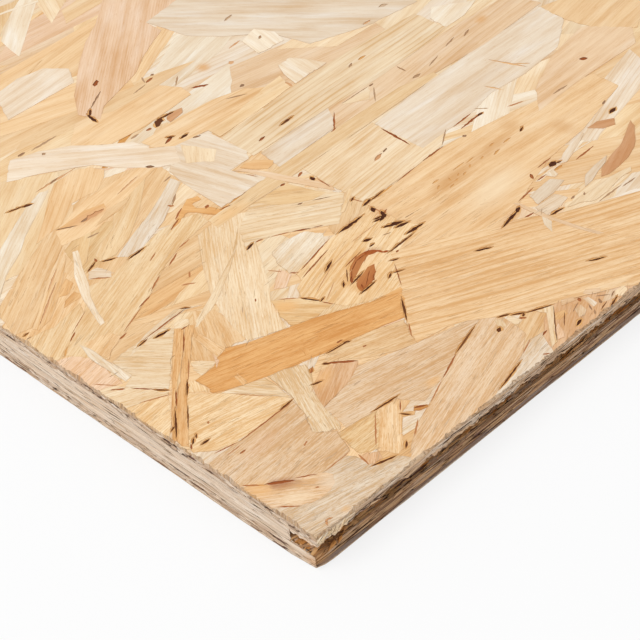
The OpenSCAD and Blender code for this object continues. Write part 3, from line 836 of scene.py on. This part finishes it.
def lay_face(name, outline, strands, place, creases=(), stains=(), skirt=None):
    """Builds one piece of a face: visible strand patches at their heights, with walls between them."""
    box_low, box_high = np.min(outline, 0), np.max(outline, 0)

    def meets(strand):
        ring = np.array(strand.outline)
        return (ring.min(0) < box_high).all() and (ring.max(0) > box_low).all()

    strands = [s for s in strands if meets(s)]
    stains = [s for s in stains if box_low[0] < s[0] < box_high[0] and box_low[1] < s[1] < box_high[1]]
    flat, triangles, top = cut_apart(outline, strands, creases, stains)
    woods = [VOID] + strands
    label = np.repeat(top + 1, 3)

    # A point is kept once for each strand that it belongs to, so that strands meet in a step
    kinds = len(woods)
    keys, corner = np.unique(triangles.ravel() * kinds + label, return_inverse=True)
    corner = corner.reshape(-1, 3)
    at, owner = flat[keys // kinds], keys % kinds

    # Edges between two strands become walls, and edges on the outline may get a skirt
    starts, ends = triangles.ravel(), np.roll(triangles, -1, 1).ravel()
    own_start, own_end = corner.ravel(), np.roll(corner, -1, 1).ravel()
    edge_keys = np.minimum(starts, ends) * len(flat) + np.maximum(starts, ends)
    order = np.argsort(edge_keys, kind="stable")
    same = np.flatnonzero(np.diff(edge_keys[order]) == 0)
    first, second = order[same], order[same + 1]
    shared = np.zeros(len(order), bool)
    shared[same] = shared[same + 1] = True
    open_edges = order[~shared]
    differ = label[first] != label[second]
    first, second = first[differ], second[differ]
    walls = np.column_stack([own_start[first], own_end[second], own_start[second], own_end[first]])

    def of_owner(field):
        return np.array([getattr(s, field) for s in woods])[owner]

    # Points of the upper strand along each step carry the painted shade of its rim
    upper = np.where(label[first] > label[second], first, second)
    border = np.zeros(len(keys))
    border[own_start[upper]] = 1
    border[own_end[upper]] = 1
    border *= of_owner("rim")
    colours = stain_colours(at, stains) * of_owner("stained")[:, None]
    places = place(at[:, 0], at[:, 1], of_owner("depth"))
    source, drop, cut = np.arange(len(keys)), np.zeros(len(keys)), np.zeros(len(keys))
    if skirt is not None:
        used, feet, skirts = skirt(places, at, own_start[open_edges], own_end[open_edges])
        places = np.concatenate([places, places[used], feet])
        source = np.concatenate([source, used, used])
        drop = np.concatenate([drop, np.zeros(len(used)), np.ones(len(used))])
        cut = np.concatenate([cut, np.ones(2 * len(used))])
        walls = np.concatenate([walls, skirts])
    at, owner = at[source], owner[source]

    centres = np.array([np.mean(s.outline, 0) if s.outline else (0, 0) for s in woods])
    u, v = along_and_across(at - centres[owner], np.radians(of_owner("grain")))
    grain = np.column_stack([u, v + drop, of_owner("seed")])
    figure = np.column_stack([of_owner("spacing"), of_owner("figure"),
                              np.maximum(of_owner("end_grain"), cut)])
    tone = of_owner("tone")
    tone[cut > 0] = (1 - WEATHERED) * tone[cut > 0] + WEATHERED * np.array(TONES["chalk"])
    tone = np.column_stack([tone, np.ones(len(owner))])
    data = [("grain", "FLOAT_VECTOR", "vector", grain), ("figure", "FLOAT_VECTOR", "vector", figure),
            ("tone", "FLOAT_COLOR", "color", tone), ("mark", "FLOAT_COLOR", "color", colours[source]),
            ("border", "FLOAT", "value", border[source]),
            ("rough", "FLOAT", "value", of_owner("rim"))]
    uv = (at - box_low) / (box_high - box_low)
    new_piece(name, places, walls, corner, data, uv)


def skirt_to(borders, level):
    """Skirt that closes a face down to a level, out to the panel's true edges.

    borders: axis and place of each edge.
    """
    def add(places, at, starts, ends):
        chosen = np.zeros(len(starts), bool)
        for axis, edge in borders:
            close = abs(at[:, axis] - edge) < EDGE_REACH
            chosen |= close[starts] & close[ends]
        starts, ends = starts[chosen], ends[chosen]
        used, index = np.unique(np.concatenate([starts, ends]), return_inverse=True)
        feet = places[used].copy()
        feet[:, 2] = level
        for axis, edge in borders:
            close = abs(at[used, axis] - edge) < EDGE_REACH
            feet[close, axis] = edge if level > THICK / 2 or axis == 0 else -edge
        high = len(places) + index
        low = high + len(used)
        count = len(starts)
        return used, feet, np.column_stack([high[:count], low[:count], low[count:], high[count:]])
    return add


def chipped_side(start, end, rng, inward, step, chip):
    """Points of one side of a face, with small chips out of it where it is a real edge of the panel."""
    if not step:
        return [start]
    steps = round(math.dist(start, end) / step)
    points = [start]
    for k in range(1, steps):
        # Chips come in runs, with whole stretches between them
        swell = max(0.0, math.sin(0.31 * k + 1.7 * math.sin(0.083 * k)))
        loss = min(CHIP_MOST, chip * (0.7 * abs(rng.gauss(0, 1)) + 1.4 * swell))
        points.append((start[0] + (end[0] - start[0]) * k / steps + inward[0] * loss,
                       start[1] + (end[1] - start[1]) * k / steps + inward[1] * loss))
    return points


def build_face(name, strands, stains, y_low, y_high, place, level, seed):
    """The upper face or the underside, in tiles along the panel."""
    rng = random.Random(seed)
    width = LENGTH / TILES
    for k in range(TILES):
        x0, x1 = END_X + k * width, END_X + (k + 1) * width
        step, chip = FINE_CHIPS if k == 0 and stains else COARSE_CHIPS
        far_step, near_step = step if k == TILES - 1 else 0, step if k == 0 else 0
        outline = (chipped_side((x0, y_low), (x1, y_low), rng, (0, 1), step, chip)
                   + chipped_side((x1, y_low), (x1, y_high), rng, (-1, 0), far_step, chip)
                   + chipped_side((x1, y_high), (x0, y_high), rng, (0, -1), COARSE_CHIPS[0], chip)
                   + chipped_side((x0, y_high), (x0, y_low), rng, (1, 0), near_step, chip))
        borders = [(1, y_low), (1, y_high)]
        if k == 0:
            borders.append((0, x0))
        if k == TILES - 1:
            borders.append((0, x1))
        lay_face(f"{name}_{k + 1}", outline, strands, place, stains=stains, skirt=skirt_to(borders, level))


def on_top(x, y, depth):
    return np.column_stack([x, y, THICK - depth])


def underneath(x, y, depth):
    return np.column_stack([x, -y, depth])


# Profiles of the two long edges run from the underside's skin up to the upper face's skin.


def groove_half(distance):
    """Half the height of the groove at a distance from its mouth."""
    return TONGUE_ROOT / 2 + SIDE_CLEARANCE - distance * TAPER


def groove_profile(extra=0):
    bottom = GROOVE_Y + GROOVE_DEPTH + extra
    return [(LOWER_LIP_Y, UNDER_SKIN), (LOWER_LIP_Y, JOINT_Z - groove_half(LIP_SETBACK)),
            (bottom, JOINT_Z - groove_half(GROOVE_DEPTH)), (bottom, JOINT_Z + groove_half(GROOVE_DEPTH)),
            (GROOVE_Y, JOINT_Z + groove_half(0)), (GROOVE_Y, THICK - TOP_SKIN)]


def tongue_profile():
    lean = math.atan(TAPER)
    arc_y = TONGUE_LENGTH - NOSE_RADIUS
    arc_z = TONGUE_ROOT / 2 - arc_y * TAPER - NOSE_RADIUS / math.cos(lean)
    turns = [(math.pi / 2 - lean) * (1 - k / 4) for k in range(5)]
    nose = [(arc_y + NOSE_RADIUS * math.cos(t), arc_z + NOSE_RADIUS * math.sin(t)) for t in turns]
    upper = [(0, TONGUE_ROOT / 2)] + nose
    return ([(SHOULDER_Y, UNDER_SKIN)] + [(SHOULDER_Y + y, JOINT_Z - z) for y, z in upper]
            + [(SHOULDER_Y + y, JOINT_Z + z) for y, z in reversed(upper)] + [(SHOULDER_Y, THICK - TOP_SKIN)])


def along_profile(profile, side):
    """Lengths along a profile, and a function that gives place and outward way at any of them."""
    line = np.array(profile)
    runs = np.diff(line, axis=0)
    lengths = np.linalg.norm(runs, axis=1)
    marks = np.concatenate([[0], np.cumsum(lengths)])
    outward = side * np.column_stack([runs[:, 1], -runs[:, 0]]) / lengths[:, None]

    def at(t):
        t = np.clip(t, 0, marks[-1])
        k = np.clip(np.searchsorted(marks, t, "right") - 1, 0, len(lengths) - 1)
        share = (t - marks[k]) / lengths[k]
        way = outward[k].copy()
        before = (share < 1e-3) & (k > 0)
        way[before] = (outward[k[before]] + outward[k[before] - 1]) / 2
        return line[k] + runs[k] * share[:, None], way
    return marks, at


@dataclass
class Band:
    """A layer of the board as an edge shows it.

    high is the layer's top. The rest are the lengths and woods of its strands, its share of gaps, how much
    end grain shows and how uneven the layer is.
    """
    high: float
    lengths: tuple
    tones: list
    gaps: float
    end_grain: float
    uneven: float


# The face strands run along the board, so a sawn end cuts them across and shows the core's strands lengthwise
END_BANDS = [
    Band(4.7, (3, 12), ["edge", "edge", "edge", "pale_edge", "fawn", "fawn"], 0.09, 0.35, 0.08),
    Band(14.0, (8, 35), ["pale_edge", "pale_edge", "edge"], 0.012, 0.2, 0.06),
    Band(18, (2, 7), ["edge", "edge", "pale_edge", "fawn", "fawn"], 0.09, 0.45, 0.08),
]
# The groove edge's woods are darker and browner than the end's and the tongue's: partly the machined edge's
# own colour, partly painted shade of this side
GROOVE_BANDS = [
    # The lowest band is grey-brown painted shade along the bottom edge
    Band(2.4, (8, 40), ["bottom_shade", "bottom_shade", "umber"], 0.0, 0.3, 0.1),
    Band(7.15, (5, 24), ["walnut", "walnut", "walnut", "umber", "fawn"], 0.04, 0.4, 0.13),
    Band(13.35, (3, 12), ["amber", "honey", "honey", "fawn"], 0.06, 0.5, 0.25),
    Band(18, (4, 24), ["biscuit", "biscuit", "edge", "fawn"], 0.05, 0.35, 0.12),
]
TONGUE_BANDS = [
    Band(7.2, (30, 110), ["edge", "pale_edge", "fawn"], 0.03, 0.2, 0.1),
    Band(13.2, (5, 22), ["edge", "pale_edge", "fawn", "fawn"], 0.05, 0.6, 0.1),
    Band(18, (30, 110), ["edge", "pale_edge", "fawn"], 0.03, 0.2, 0.1),
]


def edge_strands(rng, s_range, t_range, height_of, bands, far=None):
    """Strands that an edge cuts through: thin lens shapes in courses, coarser beyond the place far."""
    made = []
    row = 0
    t = t_range[0] - 0.3
    while t < t_range[1]:
        course = rng.uniform(0.5, 0.9)
        height = height_of(t + course / 2)
        band = next(b for b in bands if height <= b.high)
        s = s_range[0] - rng.uniform(0, band.lengths[1])
        while s < s_range[1]:
            length = rng.uniform(*band.lengths)
            thick = course * rng.uniform(1.0, 1.6)
            if far is not None and s > far:
                if row % 2:
                    break
                length *= 2.0
                thick *= 1.9
            steps = max(3, min(10, round(length / 5)))
            shares = [k / steps for k in range(steps)]
            lens = [(length * (k - 0.5), -thick / 2 * (1 - abs(2 * k - 1) ** 3)) for k in shares]
            lens += [(-u, -v) for u, v in lens]
            tilt = rng.gauss(0, 12 / length + 0.4)
            centre = (s + length / 2, t + course / 2 + rng.gauss(0, 0.12))
            # A gap is sunk and also coloured dark brown: that colour is painted shade inside it
            gap = rng.random() < band.gaps
            depth = rng.uniform(0.4, 0.8) if gap else rng.uniform(0, 2 * band.uneven)
            shades = (0.6, 1.0) if gap else (1 - 1.3 * band.uneven, 1 + 0.7 * band.uneven)
            shade = rng.uniform(*shades)
            tone = tuple(c * shade for c in TONES["gap_shade" if gap else rng.choice(band.tones)])
            outline = frayed(turned(lens, tilt, centre), tilt, rng, step=6, fray=0.08)
            made.append(Strand(outline, tilt, tone, depth, spacing=rng.uniform(0.5, 1.1), figure=0.4,
                               seed=rng.uniform(0, 100), end_grain=band.end_grain))
            s += length * rng.uniform(0.75, 0.98)
        t += course * 0.85
        row += 1
    rng.shuffle(made)
    return made


def torn_fibres(rng, marks):
    """Short fibres where the near end is broken: brown ones in the groove, pale ones on the upper lip."""
    made = []
    run = BREAK_RUN + 6
    for count, heights, woods, proud in (
        (150, (marks[1], marks[3]), ["amber", "honey", "fawn", "umber"], 0.6),
        (25, (marks[4], marks[5]), ["white", "cream", "straw"], 0.0),
    ):
        for _ in range(count):
            angle = rng.gauss(10, 25)
            centre = (END_X + rng.uniform(0, run), rng.uniform(*heights))
            outline = flake(rng, centre, rng.uniform(3, 9), rng.uniform(0.5, 1.2), angle)
            shade = rng.uniform(0.8, 1.1)
            tone = tuple(c * shade for c in TONES[rng.choice(woods)])
            outline = frayed(outline, angle, rng, step=2, fray=0.1)
            made.append(Strand(outline, angle, tone, rng.uniform(-proud, 0.3), spacing=0.8, figure=0.5,
                               seed=rng.uniform(0, 100), end_grain=0.3))
    return made


def splintered(profile, rng, step, reach):
    """Groove profile whose three inner sides are torn: splinters reach from them into the groove."""
    torn = [profile[0]]
    for (ay, az), (by, bz) in zip(profile[1:4], profile[2:5]):
        length = math.dist((ay, az), (by, bz))
        pieces = round(length / step)
        for k in range(pieces):
            off = rng.uniform(0, reach) / length if k else 0
            torn.append((ay + (by - ay) * k / pieces - (bz - az) * off,
                         az + (bz - az) * k / pieces + (by - ay) * off))
    return torn + profile[4:]


def build_end(name, outward, seed, stains=()):
    """A sawn short end: its map runs along the end and up, and the groove and the tongue bound it."""
    rng = random.Random(seed)
    groove = groove_profile()
    if outward < 0:
        groove = splintered(groove_profile(BREAK_REACH), rng, step=1.1, reach=0.9)
    outline = [(outward * y, z) for y, z in groove + tongue_profile()[::-1]]
    outline = outline[::-1] if area_of(outline) < 0 else outline
    run = sorted((outward * GROOVE_Y, outward * HIGH[1]))
    far = -GROOVE_Y if outward < 0 else run[0]
    strands = edge_strands(rng, run, (UNDER_SKIN, THICK - TOP_SKIN), lambda t: t, END_BANDS, far)

    def place(s, t, depth):
        inside = np.clip(np.minimum(t - UNDER_SKIN, THICK - TOP_SKIN - t) / BORDER_FADE, 0, 1)
        return np.column_stack([outward * (-END_X - depth * inside), outward * s, t])
    lay_face(name, outline, strands, place, stains=stains)


def build_long_edge(name, profile, side, bands, seed, reach=0, stains=()):
    """A long edge unrolled along its profile. reach: how much deeper the near end of the groove is broken."""
    marks, at = along_profile(profile, side)
    rng = random.Random(seed)
    far = END_X + DETAIL_REACH if reach else END_X

    def height_of(t):
        return at(np.array([t]))[0][0][1]

    strands = edge_strands(rng, (END_X, -END_X), (0, marks[-1]), height_of, bands, far)
    if reach:
        strands += torn_fibres(rng, marks)
    inner = max((y for y, _ in profile), key=lambda y: abs(y - profile[0][0]))

    def place(s, t, depth):
        spot, way = at(t)
        inside = np.clip(np.minimum(t, marks[-1] - t) / BORDER_FADE, 0, 1)
        spot = spot - way * (depth * inside)[:, None]
        x = -side * s
        if reach:
            # Three waves make the mouth ragged, except at the ends
            ragged = 0.3 + 0.4 * (np.sin(0.37 * x) + np.sin(0.91 * x + 1) + 0.8 * np.sin(2.3 * x + 2))
            ragged *= np.clip(np.minimum(x - END_X, -END_X - x) / 3, 0, 1)
            spot[:, 1] += ragged * np.exp(-((t - marks[4]) / 1.5) ** 2)
            broken = reach * np.clip(1 - (x - END_X) / BREAK_RUN, 0, 1)
            spot[:, 0] += broken * np.clip((spot[:, 0] - LOWER_LIP_Y) / (inner - LOWER_LIP_Y), 0, 1)
        return np.column_stack([x, spot])

    length = LENGTH / EDGE_PARTS
    for k in range(EDGE_PARTS):
        s0, s1 = END_X + k * length, END_X + (k + 1) * length
        creases = [[(s0, t), (s1, t)] for t in marks[1:-1]]
        if reach:
            # The ragged mouth of the groove needs points of its own, close together near the corner
            pieces = round(length / (1 if k == 0 else 8))
            below, mouth, above = ([(s0 + length * i / pieces, marks[4] + off) for i in range(pieces + 1)]
                                   for off in (-0.8, 0, 0.8))
            creases[3] = mouth
            creases += [below, above]
        outline = [(s0, 0), (s1, 0), (s1, marks[-1]), (s0, marks[-1])]
        lay_face(f"{name}_{k + 1}", outline, strands, place, creases, stains)


class Nodes:
    """Short forms for the shader nodes of a material or a world."""
    def __init__(self, owner):
        owner.use_nodes = True
        self.tree = owner.node_tree
        self.tree.nodes.clear()

    def new(self, kind, values=(), **settings):
        node = self.tree.nodes.new(kind)
        for key, value in settings.items():
            setattr(node, key, value)
        for key, value in dict(values).items():
            if isinstance(value, bpy.types.NodeSocket):
                self.tree.links.new(value, node.inputs[key])
            else:
                node.inputs[key].default_value = value
        return node

    def attribute(self, name):
        return self.new("ShaderNodeAttribute", attribute_name=name)

    def math(self, operation, *values, clamp=False):
        node = self.new("ShaderNodeMath", dict(enumerate(values)), operation=operation, use_clamp=clamp)
        return node.outputs[0]

    def times(self, first, second, clamp=False):
        return self.math("MULTIPLY", first, second, clamp=clamp)

    def vector(self, x, y, z):
        return self.new("ShaderNodeCombineXYZ", {0: x, 1: y, 2: z}).outputs[0]

    def parts(self, vector):
        return self.new("ShaderNodeSeparateXYZ", {0: vector}).outputs

    def noise(self, vector, detail, roughness=0.5):
        return self.new("ShaderNodeTexNoise", {"Vector": vector, "Scale": 1.0, "Detail": detail,
                                               "Roughness": roughness}).outputs["Fac"]

    def ramp(self, value, low, high, to_low=0.0, to_high=1.0):
        return self.new("ShaderNodeMapRange", {"Value": value, "From Min": low, "From Max": high,
                                               "To Min": to_low, "To Max": to_high}).outputs[0]

    def mix(self, share, first, second, blend="MIX"):
        node = self.new("ShaderNodeMix", data_type="RGBA", blend_type=blend)
        for socket, value in ((node.inputs[0], share), (node.inputs[6], first), (node.inputs[7], second)):
            if isinstance(value, bpy.types.NodeSocket):
                self.tree.links.new(value, socket)
            else:
                socket.default_value = (*value, 1) if isinstance(value, tuple) else value
        return node.outputs[2]

    def shaded(self, share, colour, shade):
        """A colour that is multiplied by a shade, by a share from 0 to 1."""
        return self.mix(share, colour, self.mix(1.0, colour, shade, "MULTIPLY"))

    def seen(self):
        """1 where something is looked at, also in a mirror or through glass, and 0 where it only lights."""
        ray = self.new("ShaderNodeLightPath").outputs
        mirrored = self.math("ADD", ray["Is Glossy Ray"], ray["Is Transmission Ray"])
        return self.math("ADD", ray["Is Camera Ray"], mirrored, clamp=True)


def osb_material():
    """Wood that reads each strand's own grain, colour and growth rings."""
    material = bpy.data.materials.new("osb_strands")
    n = Nodes(material)
    u, v, seed = n.parts(n.attribute("grain").outputs["Vector"])
    spacing, figure, end_grain = n.parts(n.attribute("figure").outputs["Vector"])
    tone = n.attribute("tone").outputs["Color"]
    mark = n.attribute("mark")
    border = n.attribute("border").outputs["Fac"]
    wall = n.attribute("wall").outputs["Fac"]
    rough = n.attribute("rough").outputs["Fac"]

    def stretched(along, across, shift):
        return n.vector(n.times(u, along), n.times(v, across), n.times(seed, shift))

    # Noises along the grain, and growth rings as a saw wave across it
    fibre = n.noise(stretched(0.11, 1.9, 1.7), 5, 0.7)
    streak = n.noise(stretched(0.02, 0.3, 2.3), 3)
    pale = n.noise(stretched(0.035, 0.2, 8.9), 2)
    bend = n.noise(stretched(0.01, 0.03, 3.1), 1)
    spread = n.noise(stretched(0.003, 0.12, 5.3), 1)
    patch = n.noise(stretched(0.03, 0.06, 4.3), 2)
    shift = n.math("ADD", n.times(bend, 4.0), n.times(spread, 3.0))
    saw = n.math("FRACT", n.math("ADD", n.math("DIVIDE", v, spacing), shift))
    line = n.times(n.ramp(saw, 0.3, 0.9), n.ramp(saw, 0.9, 1.0, 1.0, 0.0))
    ring = n.times(n.math("POWER", line, 2.4), n.times(figure, n.ramp(patch, 0.3, 0.6, 0.3, 1.0)))
    fleck = n.ramp(n.noise(stretched(0.3, 3.0, 5.9), 1), 0.68, 0.76)
    pores = n.times(n.ramp(n.noise(stretched(0.9, 1.3, 6.7), 3, 0.7), 0.48, 0.72), end_grain)
    fuzz = n.noise(stretched(0.45, 2.4, 7.7), 2, 0.6)
    near = n.math("POWER", rough, 2.0)

    # Colour: the strand's own, bleached in places, then what darkens it, then painted shade on rims and
    # walls, then stains
    pale_fuzz = n.times(n.ramp(fuzz, 0.32, 0.47, 0.6, 0.0), near)
    base = n.shaded(n.math("ADD", n.ramp(pale, 0.5, 0.75, 0.0, 0.8), pale_fuzz, clamp=True), tone, BLEACH)
    darker = n.times(ring, 1.4)
    for part in (
        n.times(n.ramp(fibre, 0.42, 0.64), n.ramp(rough, 0.1, 1.0, 0.26, 0.95)),
        n.ramp(streak, 0.42, 0.68, 0.0, 0.55),
        n.ramp(patch, 0.45, 0.7, 0.0, 0.35),
        n.times(fleck, 0.6),
        n.times(n.ramp(fuzz, 0.54, 0.68, 0.0, 0.8), near),
    ):
        darker = n.math("ADD", darker, part)
    colour = n.shaded(n.times(darker, 0.8, clamp=True), base, LATEWOOD)
    colour = n.shaded(pores, colour, PORE_SHADE)
    # Painted shade along each upper strand's rim, where it steps down onto the strand below
    colour = n.shaded(n.times(border, n.ramp(patch, 0.42, 0.62, 0.1, 0.65)), colour, RIM_PAINTED_SHADE)
    # Painted shade on the walls of the steps between strands and on the skirts along the faces' edges
    colour = n.shaded(n.times(wall, 0.5), colour, WALL_PAINTED_SHADE)
    kept = n.math("SUBTRACT", 1.0, mark.outputs["Alpha"])
    colour = n.mix(1.0, n.mix(kept, (0.0, 0.0, 0.0), colour), mark.outputs["Color"], "ADD")

    height = n.math("ADD", n.times(fibre, 0.7), n.times(ring, -0.3))
    height = n.math("ADD", height, n.times(pores, -1.2))
    bump = n.new("ShaderNodeBump", {"Height": height, "Strength": 0.6, "Distance": 0.00025}).outputs[0]
    gloss = n.ramp(fibre, 0.2, 0.8, 0.5, 0.72)
    shader = n.new("ShaderNodeBsdfPrincipled", {"Base Color": colour, "Roughness": gloss, "Normal": bump,
                                                "Specular IOR Level": 0.15})
    n.new("ShaderNodeOutputMaterial", {"Surface": shader.outputs[0]})
    return material


OSB = osb_material()
ALONG = (END_X, -END_X)
top_strands = scattered(random.Random(11), ALONG, (GROOVE_Y, SHOULDER_Y), rimmed=True, step=14)
top_strands += corner_strands(NEAR_UNDER, seed=600, lowest=0.14, highest=0.12)
top_strands += corner_strands(NEAR_STRANDS, seed=200, lowest=0.12, highest=0.0)
top_strands += loose_fibres(random.Random(14), top_strands)
top_strands += corner_slits(random.Random(15))
top_stains = [(x + END_X, y + GROOVE_Y, *rest) for x, y, *rest in NEAR_STAINS]
build_face("upper_strands", top_strands, top_stains, GROOVE_Y, SHOULDER_Y, on_top, THICK - TOP_SKIN, seed=21)
under_strands = scattered(random.Random(13), ALONG, (-SHOULDER_Y, -LOWER_LIP_Y), rimmed=False, step=24)
build_face("under_strands", under_strands, [], -SHOULDER_Y, -LOWER_LIP_Y, underneath, UNDER_SKIN, seed=22)
end_stains = [(-GROOVE_Y - x, z, *rest) for x, z, *rest in NEAR_END_STAINS]
build_end("sawn_end_near", outward=-1, seed=31, stains=end_stains)
build_end("sawn_end_far", outward=1, seed=32)
groove_stains = [(END_X + x, t, *rest) for x, t, *rest in GROOVE_STAINS]
build_long_edge("groove_edge", groove_profile(), -1, GROOVE_BANDS, seed=33, reach=BREAK_REACH,
                stains=groove_stains)
build_long_edge("tongue_edge", tongue_profile(), 1, TONGUE_BANDS, seed=34)


def plain_floor():
    """Wide white floor that keeps the panel's shadow."""
    mesh = bpy.data.meshes.new("floor")
    corners = [(x * FLOOR_REACH, y * FLOOR_REACH, 0) for x, y in ((-1, -1), (1, -1), (1, 1), (-1, 1))]
    mesh.from_pydata(corners, [], [(0, 1, 2, 3)])
    material = bpy.data.materials.new("white_floor")
    n = Nodes(material)
    paint = n.new("ShaderNodeBsdfDiffuse", {"Color": (0.8, 0.8, 0.8, 1)})
    white = n.new("ShaderNodeEmission", {"Color": (1, 1, 1, 1), "Strength": 1.0})
    share = n.times(n.seen(), FLOOR_WHITE)
    both = n.new("ShaderNodeMixShader", {0: share, 1: paint.outputs[0], 2: white.outputs[0]})
    n.new("ShaderNodeOutputMaterial", {"Surface": both.outputs[0]})
    mesh.materials.append(material)
    floor = bpy.data.objects.new("floor", mesh)
    floor.location.z = -FLOOR_DROP
    bpy.context.scene.collection.objects.link(floor)


def photo_camera():
    """Camera at the photograph's place, given from the panel's near upper corner."""
    place = (np.array([END_X, GROOVE_Y, THICK]) + CAMERA_OFFSET) * MM
    yaw, pitch, roll = (math.radians(turn) for turn in CAMERA_TURNS)
    ahead = Vector((math.cos(yaw) * math.cos(pitch), math.sin(yaw) * math.cos(pitch), -math.sin(pitch)))
    right = Vector((math.sin(yaw), -math.cos(yaw), 0))
    up = right.cross(ahead)
    turned_right = right * math.cos(roll) + up * math.sin(roll)
    turned_up = up * math.cos(roll) - right * math.sin(roll)
    data = bpy.data.cameras.new("camera")
    data.sensor_width = SENSOR_WIDTH
    data.lens = SENSOR_WIDTH * FOCAL_PIXELS / FRAME_PIXELS
    data.clip_end = 50
    camera = bpy.data.objects.new("camera", data)
    axes = Matrix((turned_right, turned_up, -ahead)).transposed()
    camera.matrix_world = Matrix.Translation(Vector(place)) @ axes.to_4x4()
    bpy.context.scene.collection.objects.link(camera)
    bpy.context.scene.camera = camera


def soft_light(name, place, target, size, power):
    """A square area light that looks at a target."""
    data = bpy.data.lights.new(name, "AREA")
    data.shape = "SQUARE"
    data.size = size
    data.energy = power
    light = bpy.data.objects.new(name, data)
    light.location = place
    light.rotation_euler = (Vector(target) - Vector(place)).to_track_quat("-Z", "Y").to_euler()
    bpy.context.scene.collection.objects.link(light)


def studio_light():
    """A white world that lights less than it shows, and two area lights."""
    world = bpy.data.worlds.new("studio")
    bpy.context.scene.world = world
    n = Nodes(world)
    strength = n.ramp(n.seen(), 0.0, 1.0, WORLD_LIGHT, 1.0)
    background = n.new("ShaderNodeBackground", {"Color": (1, 1, 1, 1), "Strength": strength})
    n.new("ShaderNodeOutputWorld", {"Surface": background.outputs[0]})
    soft_light("key", *KEY_LIGHT)
    soft_light("fill", *FILL_LIGHT)


plain_floor()
photo_camera()
studio_light()
bpy.context.scene.view_settings.view_transform = "Standard"
